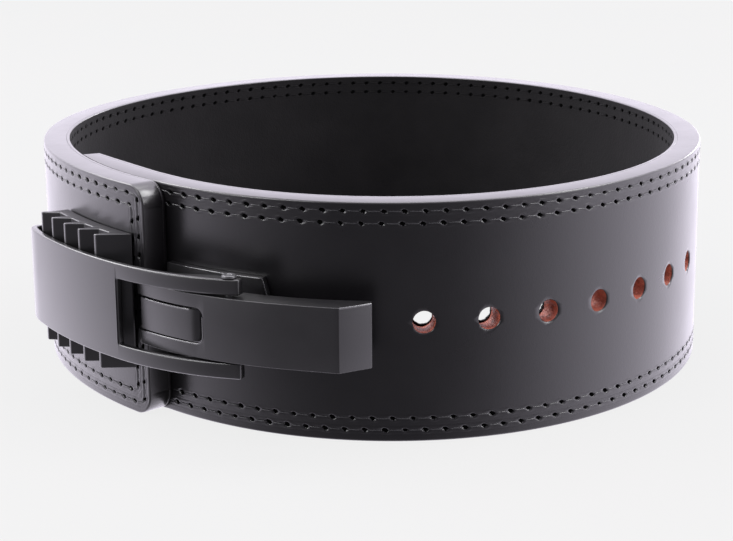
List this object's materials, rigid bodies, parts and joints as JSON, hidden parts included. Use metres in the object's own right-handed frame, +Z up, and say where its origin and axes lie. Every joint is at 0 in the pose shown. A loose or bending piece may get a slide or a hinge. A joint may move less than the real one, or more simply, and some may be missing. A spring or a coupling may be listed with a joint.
{
  "type": "weightlifting belt",
  "caption": "Thick leather lifting belt, fastened in a closed loop by a lever buckle on a finned plate, standing on its lower edge.",
  "frame": {"origin": "centre of the bounding box, at the height of the strap's lower edge", "axes": "+Z up along the strap's height; the buckle is on the -X -Y side and the lever points towards +X"},
  "size_m": [0.3098, 0.3614, 0.1],
  "materials": {
    "leather": "smooth black, semi-gloss, painted rims",
    "lining": "matte black suede",
    "buckle_paint": "satin black powder coat",
    "steel": "black coated steel pins and posts"
  },
  "bodies": {
    "root": {"strap_leather": "leather", "strap_lining": "lining", "rack": "buckle_paint", "rack_rivet_1": "steel", "rack_rivet_2": "steel", "bail": "buckle_paint", "bail_pin": "steel", "lever": "buckle_paint", "lever_pin": "steel", "lock_tongue": "buckle_paint", "base": "buckle_paint", "base_post_1": "steel", "base_post_2": "steel"}
  },
  "joints": []
}
